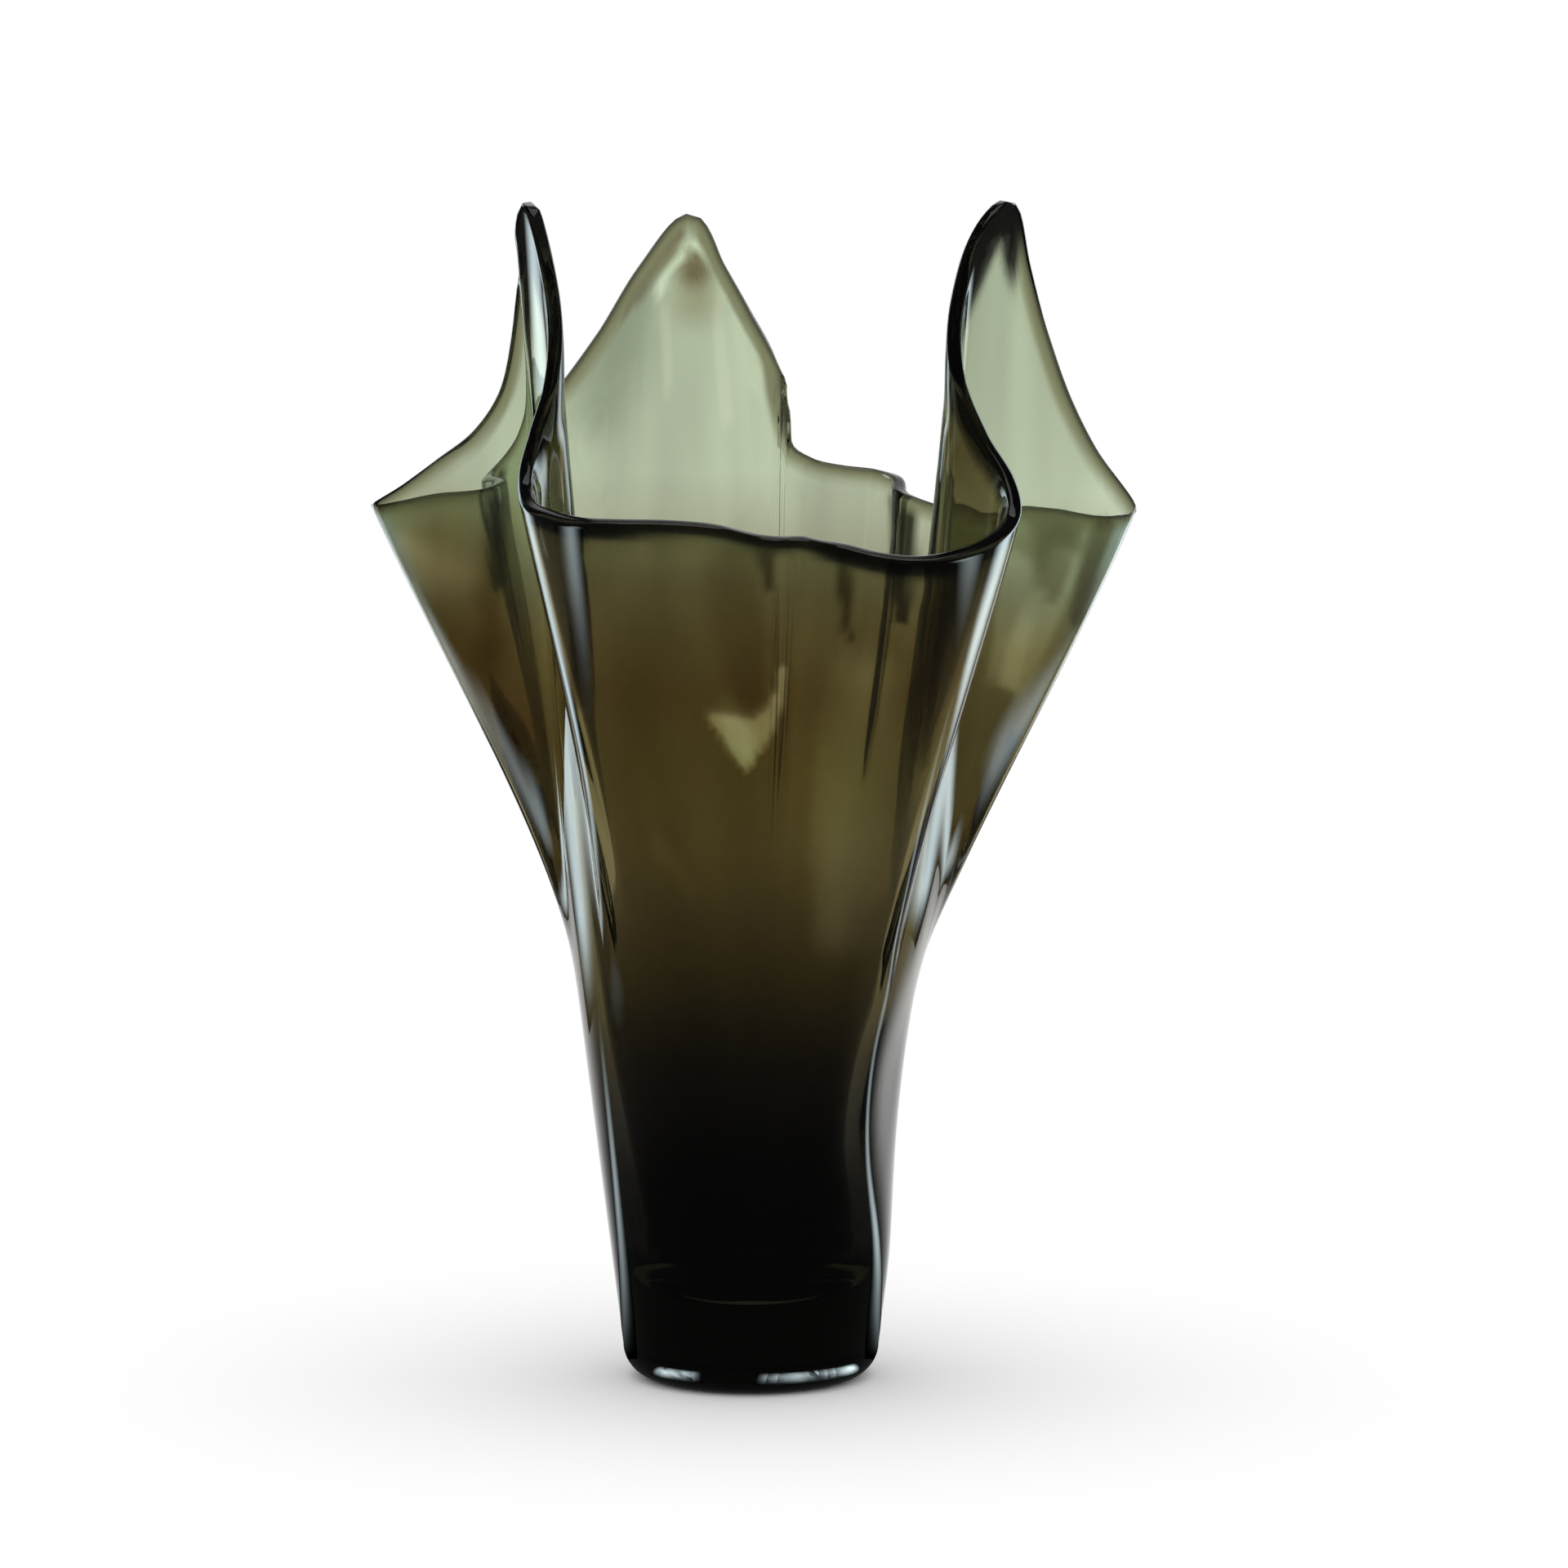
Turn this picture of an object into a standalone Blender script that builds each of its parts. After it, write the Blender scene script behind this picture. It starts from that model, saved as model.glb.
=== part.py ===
"""Glass vase with a folded rim, as one solid: metres, +Z up, standing on z = 0 with its front towards -Y.

The vase is shaped the way such a vase is blown. A blank is turned from one closed profile, with a thick
foot, a tapered body and a thin wall that ends in a rounded edge. Each column of that wall then falls
outwards to its own place on the rim line, which runs through three peaks, two side tips and the creases
between them.
"""

import math

import bmesh
import bpy
import numpy as np
from mathutils import Vector

# Foot and body
FOOT_RADIUS = 0.0314
FOOT_ROUND = 0.0085
BODY_HEIGHT = 0.097
BODY_TAPER = 0.126
FLOOR_THICKNESS = 0.022
FLOOR_ROUND = 0.018
LOWER_WALL = 0.0110
MIDDLE_WALL = 0.0062

# Hollow pressed into the right side of the body, with its turn and spread in degrees
HOLLOW_DEPTH = 0.0048
HOLLOW_HEIGHT = 0.078
HOLLOW_REACH = 0.054
HOLLOW_TURN = -15
HOLLOW_SPREAD = 45

# Wall and edge
WALL = 0.0030
EDGE_THICKNESS = 0.0038
EDGE_BAND = 0.012

# How the wall spreads from the body to the rim: where it starts and how softly it bends there, as shares
# of the height between them, and how steeply it spreads at its start and at the rim
SPREAD_START = 0.1
SPREAD_BEND = 0.07
LEFT_SPREAD_AT_START = 0.5
RIGHT_SPREAD_AT_START = 0.85
LEFT_SPREAD_AT_RIM = 1.0
RIGHT_SPREAD_AT_RIM = 0.85

# Where the wall leaves the turned body, as shares of the body's height
DRAPE_START = 0.3
DRAPE_FULL = 0.7

# Heights and reaches of the rim line
LOW_RIM = 0.222
LEFT_REACH = 0.0948
RIGHT_REACH = 0.0966
FRONT_REACH = 0.084
BACK_REACH = 0.067
LEFT_PEAK = 0.2982
RIGHT_PEAK = 0.3000
BACK_PEAK = 0.2885

# The rim line, as places that it runs through, anticlockwise from the front as seen from above
FRONT_LIP = (
    (0.0130, -0.083, LOW_RIM - 0.001),
    (0.0220, -0.080, LOW_RIM - 0.003),
    (0.0320, -FRONT_REACH, LOW_RIM - 0.005),
    (0.0420, -0.083, LOW_RIM - 0.006),
    (0.0520, -0.078, LOW_RIM - 0.005),
    (0.0610, -0.069, LOW_RIM - 0.002),
    (0.0665, -0.057, LOW_RIM + 0.003),
)
RIGHT_CREASE = (
    (0.0650, -0.048, LOW_RIM + 0.011),
    (0.0585, -0.0405, LOW_RIM + 0.021),
    (0.0530, -0.035, LOW_RIM + 0.034),
    (0.0526, -0.031, LOW_RIM + 0.048),
    (0.0560, -0.026, LOW_RIM + 0.064),
    (0.0605, -0.0220, LOW_RIM + 0.073),
    (0.0660, -0.0165, RIGHT_PEAK),
)
RIGHT_WING = (
    (0.0690, -0.012, LOW_RIM + 0.061),
    (0.0730, -0.008, LOW_RIM + 0.045),
    (0.0785, -0.004, LOW_RIM + 0.029),
    (0.0865, 0.003, LOW_RIM + 0.0125),
    (RIGHT_REACH, 0.012, LOW_RIM - 0.003),
    (0.0920, 0.020, LOW_RIM - 0.006),
    (0.0810, 0.029, LOW_RIM - 0.006),
    (0.0690, 0.036, LOW_RIM - 0.006),
    (0.0580, 0.041, LOW_RIM - 0.007),
    (0.0480, 0.041, LOW_RIM - 0.006),
)
BACK_PANEL = (
    (0.0405, 0.042, LOW_RIM - 0.003),
    (0.0390, 0.052, LOW_RIM),
    (0.0330, 0.060, LOW_RIM + 0.001),
    (0.0230, 0.062, LOW_RIM + 0.002),
    (0.0145, 0.062, LOW_RIM + 0.004),
    (0.0078, 0.060, LOW_RIM + 0.009),
)
BACK_FLAP = (
    (0.0060, 0.059, LOW_RIM + 0.021),
    (0.0044, 0.061, LOW_RIM + 0.032),
    (-0.0022, 0.064, LOW_RIM + 0.044),
    (-0.0088, 0.066, LOW_RIM + 0.055),
    (-0.0160, BACK_REACH, BACK_PEAK),
    (-0.0270, 0.066, LOW_RIM + 0.054),
    (-0.0374, 0.065, LOW_RIM + 0.037),
    (-0.0486, 0.064, LOW_RIM + 0.022),
    (-0.0600, 0.061, LOW_RIM + 0.011),
)
LEFT_WING = (
    (-0.0690, 0.054, LOW_RIM + 0.003),
    (-0.0695, 0.041, LOW_RIM + 0.002),
    (-0.0650, 0.027, LOW_RIM + 0.002),
    (-0.0690, 0.018, LOW_RIM + 0.001),
    (-0.0780, 0.013, LOW_RIM + 0.001),
    (-0.0880, 0.008, LOW_RIM - 0.001),
    (-LEFT_REACH, 0.001, LOW_RIM - 0.0015),
    (-0.0870, -0.004, LOW_RIM + 0.004),
    (-0.0778, -0.007, LOW_RIM + 0.011),
    (-0.0684, -0.009, LOW_RIM + 0.0185),
    (-0.0615, -0.0105, LOW_RIM + 0.029),
    (-0.0585, -0.012, LOW_RIM + 0.043),
    (-0.0576, -0.0135, LOW_RIM + 0.057),
    (-0.0582, -0.0155, LOW_RIM + 0.068),
)
LEFT_CREASE = (
    (-0.0567, -0.0185, LEFT_PEAK),
    (-0.0540, -0.0230, LOW_RIM + 0.069),
    (-0.0510, -0.029, LOW_RIM + 0.055),
    (-0.0500, -0.0335, LOW_RIM + 0.043),
    (-0.0510, -0.037, LOW_RIM + 0.032),
    (-0.0545, -0.042, LOW_RIM + 0.021),
    (-0.0570, -0.049, LOW_RIM + 0.012),
)
FRONT_RETURN = (
    (-0.0560, -0.060, LOW_RIM + 0.006),
    (-0.0500, -0.070, LOW_RIM + 0.004),
    (-0.0420, -0.078, LOW_RIM + 0.003),
    (-0.0320, -0.082, LOW_RIM + 0.003),
    (-0.0200, -FRONT_REACH, LOW_RIM + 0.003),
    (-0.0080, -FRONT_REACH, LOW_RIM + 0.002),
    (0.0040, -0.081, LOW_RIM - 0.001),
)
RIM_LINE = (
    *FRONT_LIP,
    *RIGHT_CREASE,
    *RIGHT_WING,
    *BACK_PANEL,
    *BACK_FLAP,
    *LEFT_WING,
    *LEFT_CREASE,
    *FRONT_RETURN,
)

# Fineness of the mesh
COLUMNS = 108
BODY_ROWS = 6
WALL_ROWS = 13
ROUND_STEPS = 5
EDGE_STEPS = 4
STEPS_PER_PLACE = 16
MERGE_DISTANCE = 1e-6
SLOPE_STEP = 2e-4

GLASS_TINT = (0.42, 0.44, 0.36, 1)


def spline_place(span):
    """The closed curve through RIM_LINE at a span number with its fraction."""
    index = math.floor(span)
    share = span - index
    before, start, end, after = (Vector(RIM_LINE[(index + step) % len(RIM_LINE)]) for step in (-1, 0, 1, 2))
    return 0.5 * (
        2 * start
        + share * (end - before)
        + share**2 * (2 * before - 5 * start + 4 * end - after)
        + share**3 * (3 * start - 3 * end + after - before)
    )


def measure_rim():
    """Shares of the rim's length, from 0 to 1, and the span numbers that they belong to."""
    spans = np.linspace(0, len(RIM_LINE), len(RIM_LINE) * STEPS_PER_PLACE + 1)
    places = [spline_place(float(span)) for span in spans]
    steps = [(b - a).length for a, b in zip(places, places[1:])]
    lengths = np.concatenate([[0], np.cumsum(steps)])
    return lengths / lengths[-1], spans


RIM_LENGTHS, RIM_SPANS = measure_rim()


def rim_place(turn):
    """The rim line at a share of its length from 0 to 1."""
    return spline_place(float(np.interp(turn % 1.0, RIM_LENGTHS, RIM_SPANS)))


def body_radius(height):
    """Outer radius of the turned blank."""
    return FOOT_RADIUS + BODY_TAPER * height


def swell(value, centre, reach):
    """1 at the centre, falling evenly to 0 at the reach on either side."""
    share = min(abs(value - centre) / reach, 1)
    return math.cos(share * math.pi / 2) ** 2


def hollow(direction, height):
    """How deep the pressed hollow is, in this direction and at this height."""
    angle = math.degrees(math.atan2(direction.y, direction.x))
    return HOLLOW_DEPTH * swell(angle, HOLLOW_TURN, HOLLOW_SPREAD) * swell(height, HOLLOW_HEIGHT, HOLLOW_REACH)


def past_start(share):
    """How far a share of the height is past the start of the spread, bending softly away from 0."""
    past = share - SPREAD_START
    return (past + math.hypot(past, SPREAD_BEND)) / 2


def flare(direction, share):
    """How far a column has gone from the body's line to the rim line, at a share of its height."""
    rightness = (1 + direction.x) / 2
    at_start = LEFT_SPREAD_AT_START + (RIGHT_SPREAD_AT_START - LEFT_SPREAD_AT_START) * rightness
    at_rim = LEFT_SPREAD_AT_RIM + (RIGHT_SPREAD_AT_RIM - LEFT_SPREAD_AT_RIM) * rightness
    way = (past_start(share) - past_start(0)) / (past_start(1) - past_start(0))
    return at_start * way * (1 - way) ** 2 + way**2 * (3 - 2 * way) - at_rim * way**2 * (1 - way)


def skin_place(turn, height):
    """The outer skin where the blank has this height, at a share of the way round."""
    rim = rim_place(turn)
    direction = Vector((rim.x, rim.y)).normalized()
    share = max((height - BODY_HEIGHT) / (LOW_RIM - BODY_HEIGHT), 0)
    level = height + share * (rim.z - LOW_RIM)
    spread = Vector((rim.x, rim.y)).length - body_radius(rim.z)
    radius = body_radius(level) + spread * flare(direction, share) - hollow(direction, level)
    return Vector((*(direction * radius), level))


def smooth_share(value, low, high):
    """0 below low, 1 above high and an even ease between them."""
    share = min(max((value - low) / (high - low), 0), 1)
    return share * share * (3 - 2 * share)


def folded(place):
    """Where a point of the blank lies once the wall has fallen into its folds."""
    turn = (math.atan2(place.y, place.x) / math.tau) % 1.0
    radius = math.hypot(place.x, place.y)
    height = min(place.z, LOW_RIM)
    skin = skin_place(turn, height)
    plain = skin * (radius / body_radius(height))
    plain.z = place.z
    along = skin_place(turn + SLOPE_STEP, height) - skin_place(turn - SLOPE_STEP, height)
    up = skin - skin_place(turn, height - SLOPE_STEP)
    inwards = up.cross(along).normalized()
    outwards = along.cross(inwards).normalized()
    depth = body_radius(height) - radius
    draped = skin + inwards * depth + outwards * (place.z - height)
    return plain.lerp(draped, smooth_share(height, BODY_HEIGHT * DRAPE_START, BODY_HEIGHT * DRAPE_FULL))


def arc(centre, radius, start, end, steps):
    """Points of an arc in the profile plane, with its angles in degrees from +X towards +Z."""
    angles = [math.radians(start + (end - start) * step / steps) for step in range(steps + 1)]
    return [(centre[0] + radius * math.cos(a), centre[1] + radius * math.sin(a)) for a in angles]


def wall_thickness(height):
    """Thickness of the blank's wall, which thins upwards and is full again at the edge."""
    band_start = LOW_RIM - EDGE_BAND
    body = LOWER_WALL + (MIDDLE_WALL - LOWER_WALL) * smooth_share(height, 0, BODY_HEIGHT)
    thinning = (MIDDLE_WALL - WALL) * smooth_share(height, BODY_HEIGHT, band_start)
    return body - thinning + (EDGE_THICKNESS - WALL) * smooth_share(height, band_start, LOW_RIM)


def levels():
    """Heights of the rows of the blank's wall, from the foot's round to the edge."""
    body = np.linspace(FOOT_ROUND, BODY_HEIGHT, BODY_ROWS + 1)
    wall = np.linspace(BODY_HEIGHT, LOW_RIM, WALL_ROWS + 1)
    return [float(level) for level in (*body, *wall[1:])]


def blank_profile():
    """The closed half section: under the foot, up the outside, over the edge and down the inside."""
    foot_centre = (body_radius(FOOT_ROUND) - FOOT_ROUND, FOOT_ROUND)
    foot = [(0.0, 0.0), *arc(foot_centre, FOOT_ROUND, -90, 0, ROUND_STEPS)]
    outside = [(body_radius(level), level) for level in levels()[1:]]
    half = EDGE_THICKNESS / 2
    edge = arc((body_radius(LOW_RIM) - half, LOW_RIM), half, 0, 180, EDGE_STEPS)
    floor_top = FLOOR_THICKNESS + FLOOR_ROUND
    inside = [
        (body_radius(level) - wall_thickness(level), level) for level in reversed(levels()) if level > floor_top
    ]
    inner_radius = body_radius(floor_top) - wall_thickness(floor_top)
    floor = arc((inner_radius - FLOOR_ROUND, floor_top), FLOOR_ROUND, 0, -90, ROUND_STEPS)
    return [*foot, *outside, *edge[1:-1], *inside, *floor, (0.0, FLOOR_THICKNESS)]


def smoked_glass():
    """Clear glass with a grey-brown tint."""
    material = bpy.data.materials.new("smoked_glass")
    material.use_nodes = True
    shader = material.node_tree.nodes["Principled BSDF"]
    shader.inputs["Base Color"].default_value = GLASS_TINT
    shader.inputs["Roughness"].default_value = 0.02
    shader.inputs["IOR"].default_value = 1.5
    shader.inputs["Transmission Weight"].default_value = 1
    return material


def turned_and_folded():
    """The blank, turned about the Z axis and folded, as a mesh."""
    form = bmesh.new()
    ring = [form.verts.new((x, 0, z)) for x, z in blank_profile()]
    for start, end in zip(ring, ring[1:]):
        form.edges.new((start, end))
    bmesh.ops.spin(
        form, geom=form.verts[:] + form.edges[:], axis=(0, 0, 1), angle=math.tau, steps=COLUMNS, use_merge=True
    )
    bmesh.ops.remove_doubles(form, verts=form.verts, dist=MERGE_DISTANCE)
    for vert in form.verts:
        vert.co = folded(vert.co)
    bmesh.ops.recalc_face_normals(form, faces=form.faces)
    mesh = bpy.data.meshes.new("vase")
    form.to_mesh(mesh)
    form.free()
    return mesh


def clear_scene():
    """Removes what the scene holds before the vase is made."""
    for item in list(bpy.data.objects):
        bpy.data.objects.remove(item)


def main():
    clear_scene()
    collection = bpy.data.collections.new("folded_glass_vase")
    bpy.context.scene.collection.children.link(collection)
    vase = bpy.data.objects.new("vase", turned_and_folded())
    vase.data.materials.append(smoked_glass())
    collection.objects.link(vase)


main()
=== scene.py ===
"""Looks of a smoked glass vase with a folded rim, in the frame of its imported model.

The vase is blown in one piece: a thick foot, a tapered body and a wall that falls outwards into folds.
Its outer form here follows the solid's at a finer division, made by the same steps: a turned blank whose
wall is folded to the rim line. In the two wing folds the wall is much thinner than the solid's, from inside.
Lengths are in metres, +Z is up and the front faces -Y.
"""

import itertools
import logging
import math
from dataclasses import dataclass, field
from enum import Enum

import bmesh
import bpy
import numpy as np
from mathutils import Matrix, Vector
from mathutils.kdtree import KDTree

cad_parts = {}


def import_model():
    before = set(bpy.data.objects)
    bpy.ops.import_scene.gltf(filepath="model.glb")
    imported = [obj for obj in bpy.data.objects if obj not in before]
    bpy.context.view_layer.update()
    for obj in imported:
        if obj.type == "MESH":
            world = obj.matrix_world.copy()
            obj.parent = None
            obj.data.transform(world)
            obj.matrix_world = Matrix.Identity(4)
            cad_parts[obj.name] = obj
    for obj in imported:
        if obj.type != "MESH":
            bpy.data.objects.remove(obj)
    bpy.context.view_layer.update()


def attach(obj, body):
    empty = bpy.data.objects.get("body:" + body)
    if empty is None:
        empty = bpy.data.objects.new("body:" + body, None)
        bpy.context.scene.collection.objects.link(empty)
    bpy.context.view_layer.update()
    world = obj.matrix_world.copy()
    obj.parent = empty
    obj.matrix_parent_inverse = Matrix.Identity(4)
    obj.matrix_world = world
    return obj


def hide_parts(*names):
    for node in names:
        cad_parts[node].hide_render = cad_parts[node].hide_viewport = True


log = logging.getLogger("vase")

PHOTO_SIDE = 1920
SENSOR_WIDTH = 36.0
LIGHT_BOUNCES = 32
HALF_WAY_ROUND = 0.5
RIGHT_ANGLE = math.radians(90)

Pair = tuple[float, float]
Place = tuple[float, float, float]
Spine = tuple[Place, ...]
Colour = tuple[float, float, float, float]
Tints = tuple[tuple[float, Place], ...]
Tree = bpy.types.NodeTree
Socket = bpy.types.NodeSocket


def smooth_share(value: float, low: float, high: float) -> float:
    """0 below low, 1 above high and an even ease between them."""
    share = min(max((value - low) / (high - low), 0.0), 1.0)
    return share * share * (3 - 2 * share)


def swell(value: float, centre: float, reach: float) -> float:
    """1 at the centre, falling evenly to 0 at the reach on either side."""
    share = min(abs(value - centre) / reach, 1.0)
    return math.cos(share * math.pi / 2) ** 2


def arc(centre: Pair, radius: float, start: float, end: float, steps: int) -> list[Pair]:
    """Points of an arc in the profile plane.

    Args:
        centre: the arc's centre, as distance from the axis and height.
        radius: its radius.
        start: its first angle, in degrees from +X towards +Z.
        end: its last angle.
        steps: how many stretches it has.

    Returns:
        The points, both ends among them.
    """
    angles = [math.radians(start + (end - start) * step / steps) for step in range(steps + 1)]
    return [(centre[0] + radius * math.cos(a), centre[1] + radius * math.sin(a)) for a in angles]


@dataclass(frozen=True)
class RimLine:
    """The line that the wall's edge follows: three peaks, two side tips and the creases between them."""

    low: float = 0.222
    left_reach: float = 0.0948
    right_reach: float = 0.0966
    front_reach: float = 0.084
    back_reach: float = 0.067
    left_peak: float = 0.2982
    right_peak: float = 0.2978
    back_peak: float = 0.2885
    steps_per_place: int = 16

    def places(self) -> list[Place]:
        """Gives the places that the line runs through.

        Returns:
            The places, anticlockwise from the front as seen from above.
        """
        low = self.low
        return [
            # Front lip, right half
            (0.0130, -0.083, low - 0.001),
            (0.0220, -0.080, low - 0.003),
            (0.0320, -self.front_reach, low - 0.005),
            (0.0420, -0.083, low - 0.006),
            (0.0520, -0.078, low - 0.005),
            (0.0610, -0.069, low - 0.002),
            (0.0665, -0.057, low + 0.003),
            # Right crease, up to its peak
            (0.0650, -0.048, low + 0.011),
            (0.0585, -0.0405, low + 0.021),
            (0.0530, -0.035, low + 0.034),
            (0.0526, -0.031, low + 0.048),
            (0.0560, -0.026, low + 0.064),
            (0.0605, -0.0220, low + 0.073),
            (0.0660, -0.0165, self.right_peak),
            # Right wing
            (0.0690, -0.012, low + 0.061),
            (0.0730, -0.008, low + 0.045),
            (0.0785, -0.004, low + 0.029),
            (0.0865, 0.003, low + 0.0125),
            (self.right_reach, 0.012, low - 0.003),
            (0.0920, 0.020, low - 0.006),
            (0.0810, 0.029, low - 0.006),
            (0.0690, 0.036, low - 0.006),
            (0.0580, 0.041, low - 0.007),
            (0.0480, 0.041, low - 0.006),
            # Back panel
            (0.0405, 0.042, low - 0.003),
            (0.0390, 0.052, low),
            (0.0330, 0.060, low + 0.001),
            (0.0230, 0.062, low + 0.002),
            (0.0145, 0.062, low + 0.004),
            (0.0078, 0.0605, low + 0.009),
            # Back flap and its peak
            (0.0060, 0.0603, low + 0.021),
            (0.0044, 0.061, low + 0.032),
            (-0.0022, 0.064, low + 0.044),
            (-0.0088, 0.066, low + 0.055),
            (-0.0160, self.back_reach, self.back_peak),
            (-0.0270, 0.066, low + 0.054),
            (-0.0374, 0.065, low + 0.037),
            (-0.0486, 0.064, low + 0.022),
            (-0.0600, 0.061, low + 0.011),
            # Left wing, up to its peak
            (-0.0690, 0.054, low + 0.003),
            (-0.0695, 0.041, low + 0.002),
            (-0.0650, 0.027, low + 0.002),
            (-0.0690, 0.018, low + 0.001),
            (-0.0780, 0.013, low + 0.001),
            (-0.0880, 0.008, low - 0.001),
            (-self.left_reach, 0.001, low - 0.0015),
            (-0.0870, -0.004, low + 0.004),
            (-0.0778, -0.007, low + 0.011),
            (-0.0684, -0.009, low + 0.0185),
            (-0.0615, -0.0105, low + 0.029),
            (-0.0585, -0.012, low + 0.043),
            (-0.0576, -0.0135, low + 0.057),
            (-0.0582, -0.0155, low + 0.068),
            # Left crease, down from its peak
            (-0.0567, -0.0185, self.left_peak),
            (-0.0540, -0.0230, low + 0.069),
            (-0.0510, -0.029, low + 0.055),
            (-0.0500, -0.0335, low + 0.043),
            (-0.0510, -0.037, low + 0.032),
            (-0.0545, -0.042, low + 0.021),
            (-0.0570, -0.049, low + 0.012),
            # Front lip, left half
            (-0.0560, -0.060, low + 0.006),
            (-0.0500, -0.070, low + 0.004),
            (-0.0420, -0.078, low + 0.003),
            (-0.0320, -0.082, low + 0.003),
            (-0.0200, -self.front_reach, low + 0.003),
            (-0.0080, -self.front_reach, low + 0.002),
            (0.0040, -0.081, low - 0.001),
        ]


class RimCurve:
    """The closed smooth curve through a rim line's places, measured by its length."""

    turn_digits: int = 6

    def __init__(self, line: RimLine) -> None:
        """Draws the curve.

        Args:
            line: the places that it runs through.
        """
        self.places = [Vector(place) for place in line.places()]
        count = len(self.places)
        self.spans = np.linspace(0, count, count * line.steps_per_place + 1)
        self.drawn = [self.at_span(float(span)) for span in self.spans]
        steps = [(b - a).length for a, b in zip(self.drawn, self.drawn[1:])]
        lengths = np.concatenate([[0], np.cumsum(steps)])
        self.shares = lengths / lengths[-1]
        self.known: dict[float, Vector] = {}

    def at_span(self, span: float) -> Vector:
        """Gives the place at a span number with its fraction, by a Catmull-Rom curve.

        Args:
            span: the number, counted from the first place.

        Returns:
            The place.
        """
        index = math.floor(span)
        share = span - index
        count = len(self.places)
        before, start, end, after = (self.places[(index + step) % count] for step in (-1, 0, 1, 2))
        return 0.5 * (
            2 * start
            + share * (end - before)
            + share**2 * (2 * before - 5 * start + 4 * end - after)
            + share**3 * (3 * start - 3 * end + after - before)
        )

    def at_turn(self, turn: float) -> Vector:
        """Gives the place at a share of the line's length, worked out once for each share.

        Args:
            turn: the share, from 0 to 1.

        Returns:
            The place.
        """
        turn = round(turn % 1.0, self.turn_digits)
        if turn not in self.known:
            self.known[turn] = self.at_span(float(np.interp(turn, self.shares, self.spans)))
        return self.known[turn]


@dataclass(frozen=True)
class Hollow:
    """The shallow hollow pressed into the right side of the body, with angles in degrees."""

    depth: float = 0.0048
    height: float = 0.078
    reach: float = 0.054
    turn: float = -15.0
    spread: float = 45.0

    def at(self, direction: Vector, height: float) -> float:
        """How deep the hollow is, in this direction and at this height."""
        angle = math.degrees(math.atan2(direction.y, direction.x))
        return self.depth * swell(angle, self.turn, self.spread) * swell(height, self.height, self.reach)


@dataclass(frozen=True)
class Blank:
    """The turned blank before it is folded: foot, tapered body, wall and rounded edge."""

    foot_radius: float = 0.0314
    foot_round: float = 0.0085
    body_height: float = 0.097
    body_taper: float = 0.126
    floor_thickness: float = 0.022
    floor_round: float = 0.018
    lower_wall: float = 0.0110
    middle_wall: float = 0.0062
    wall: float = 0.0030
    edge_thickness: float = 0.0038
    edge_round: float = 0.0012
    edge_band: float = 0.012
    rim_height: float = RimLine.low
    body_rows: int = 30
    wall_rows: int = 70
    round_steps: int = 14
    edge_steps: int = 6

    def radius(self, height: float) -> float:
        """Outer radius at a height."""
        return self.foot_radius + self.body_taper * height

    def thickness(self, height: float) -> float:
        """Gives the thickness of the wall, which thins upwards and is full again at the edge.

        Args:
            height: the height in the blank.

        Returns:
            The thickness there.
        """
        band_start = self.rim_height - self.edge_band
        below = smooth_share(height, 0, self.body_height)
        above = smooth_share(height, self.body_height, band_start)
        beside_edge = smooth_share(height, band_start, self.rim_height)
        body = self.lower_wall + (self.middle_wall - self.lower_wall) * below
        thinning = (self.middle_wall - self.wall) * above
        return body - thinning + (self.edge_thickness - self.wall) * beside_edge

    def edge_top(self) -> float:
        """Height of the top of the wall's edge."""
        return self.rim_height + self.edge_thickness / 2

    def levels(self) -> list[float]:
        """Gives the heights of the wall's rows.

        Returns:
            The heights, from the foot's round to the edge.
        """
        body = np.linspace(self.foot_round, self.body_height, self.body_rows + 1)
        wall = np.linspace(self.body_height, self.rim_height, self.wall_rows + 1)
        return [float(level) for level in (*body, *wall[1:])]

    def profile(self) -> list[Pair]:
        """Draws the half section.

        Returns:
            Its points: under the foot, up the outside, over the edge and down the inside.
        """
        foot_centre = (self.radius(self.foot_round) - self.foot_round, self.foot_round)
        foot = [(0.0, 0.0), *arc(foot_centre, self.foot_round, -90, 0, self.round_steps)]
        outside = [(self.radius(level), level) for level in self.levels()[1:]]
        rim_radius = self.radius(self.rim_height)
        corner_height = self.edge_top() - self.edge_round
        outer_corner = (rim_radius - self.edge_round, corner_height)
        inner_corner = (rim_radius - self.edge_thickness + self.edge_round, corner_height)
        edge = [
            *arc(outer_corner, self.edge_round, 0, 90, self.edge_steps),
            *arc(inner_corner, self.edge_round, 90, 180, self.edge_steps),
        ]
        floor_top = self.floor_thickness + self.floor_round
        inside = [
            (self.radius(level) - self.thickness(level), level)
            for level in reversed(self.levels())
            if level > floor_top
        ]
        inner_radius = self.radius(floor_top) - self.thickness(floor_top)
        floor = arc((inner_radius - self.floor_round, floor_top), self.floor_round, 0, -90, self.round_steps)
        return [*foot, *outside, *edge, *inside, *floor, (0.0, self.floor_thickness)]


class WallPart(Enum):
    """A stretch of the wall, by its start and end as shares of the way round."""

    FRONT_LIP = (0.900, 1.090)
    RIGHT_WING = (0.191, 0.2988)
    RIGHT_BACK = (0.2988, 0.370)
    BACK = (0.355, 0.620)
    LEFT_BACK = (0.580, 0.6933)
    LEFT_WING = (0.6933, 0.806)

    def holds(self, turns: np.ndarray) -> np.ndarray:
        """Says which of these shares of the way round lie in this stretch."""
        start, end = self.value
        return (turns - start) % 1.0 <= end - start


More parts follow.
